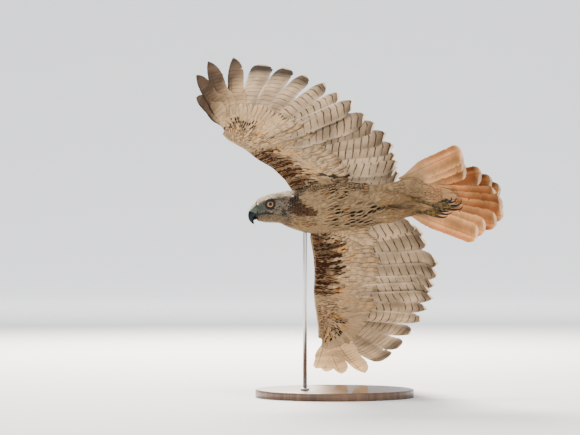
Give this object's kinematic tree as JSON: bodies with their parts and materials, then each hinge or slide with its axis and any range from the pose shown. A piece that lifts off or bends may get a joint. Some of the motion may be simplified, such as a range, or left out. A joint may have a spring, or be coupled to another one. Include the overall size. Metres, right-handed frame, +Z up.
{
  "type": "red-tailed hawk",
  "caption": "Life-size hawk in banking flight on a plain display stand, wings raised in a V with fanned tail, head in profile and feet folded back.",
  "frame": {"origin": "centre of the underside of the stand's round base, on the floor", "axes": "+Z up, -X the way the bird flies (bill), -Y the side that the bird's underside faces"},
  "size_m": [0.6319, 0.6022, 0.7046],
  "materials": {
    "body_plumage": "soft matte feathers, cream-buff with brown streaks",
    "wing_plumage": "matte feathers, cream with grey-brown bars and dark tips",
    "tail_plumage": "matte feathers, rufous with pale tips",
    "bill_horn": "smooth satin horn, blue-black, with a greenish grey cere",
    "eye": "wet gloss, peach-tan iris and black pupil",
    "scaled_skin": "dull scaled skin, yellow-olive",
    "claw_horn": "smooth black horn",
    "stand_wood": "satin dark wood",
    "stand_steel": "brushed"
  },
  "bodies": {
    "root": {"head": "body_plumage", "neck": "body_plumage", "torso": "body_plumage", "thigh_left": "body_plumage", "thigh_right": "body_plumage", "bill_upper": "bill_horn", "bill_lower": "bill_horn", "eye_left": "eye", "eye_right": "eye", "wing_left": "wing_plumage", "wing_right": "wing_plumage", "tail": "tail_plumage", "tarsus_left": "scaled_skin", "tarsus_right": "scaled_skin", "foot_left": "scaled_skin", "foot_right": "scaled_skin", "stand_base": "stand_wood", "stand_rod": "stand_steel", "claw_left_1": "claw_horn", "claw_left_2": "claw_horn", "claw_left_3": "claw_horn", "claw_left_4": "claw_horn", "claw_right_1": "claw_horn", "claw_right_2": "claw_horn", "claw_right_3": "claw_horn", "claw_right_4": "claw_horn"}
  },
  "joints": []
}
